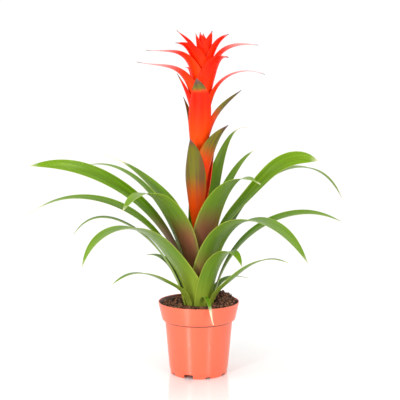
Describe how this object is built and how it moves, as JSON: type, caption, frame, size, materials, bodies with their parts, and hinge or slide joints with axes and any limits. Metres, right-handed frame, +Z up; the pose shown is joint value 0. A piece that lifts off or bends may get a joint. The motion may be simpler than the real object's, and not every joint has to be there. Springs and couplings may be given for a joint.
{
  "type": "potted bromeliad",
  "caption": "Potted bromeliad: arching strap leaves round an upright flower head of red bracts, in a tapered plastic nursery pot of soil.",
  "frame": {"origin": "centre of the pot's underside, on the surface it stands on", "axes": "+Z up along the pot's axis, -Y towards the side the picture shows, +X to the right in the picture"},
  "size_m": [0.4954, 0.347, 0.5005],
  "materials": {
    "plastic": "satin",
    "soil": "matte",
    "stalk": "satin",
    "leaf": "gloss",
    "bract": "satin"
  },
  "bodies": {
    "root": {"pot": "plastic", "soil": "soil", "stalk": "stalk", "leaf_01": "leaf", "leaf_02": "leaf", "leaf_03": "leaf", "leaf_04": "leaf", "leaf_05": "leaf", "leaf_06": "leaf", "leaf_07": "leaf", "leaf_08": "leaf", "leaf_09": "leaf", "leaf_10": "leaf", "leaf_11": "leaf", "leaf_12": "leaf", "leaf_13": "leaf", "leaf_14": "leaf", "leaf_15": "leaf", "leaf_16": "leaf", "leaf_17": "leaf", "leaf_18": "leaf", "leaf_19": "leaf", "leaf_20": "leaf", "leaf_21": "leaf", "leaf_22": "leaf", "leaf_23": "leaf", "leaf_24": "leaf", "leaf_25": "leaf", "bract_01": "bract", "bract_02": "bract", "bract_03": "bract", "bract_04": "bract", "bract_05": "bract", "bract_06": "bract", "bract_07": "bract", "bract_08": "bract", "bract_09": "bract", "bract_10": "bract", "bract_11": "bract", "bract_12": "bract", "bract_13": "bract", "bract_14": "bract", "bract_15": "bract", "bract_16": "bract", "bract_17": "bract", "bract_18": "bract", "bract_19": "bract", "bract_20": "bract", "crown": "bract"}
  },
  "joints": []
}
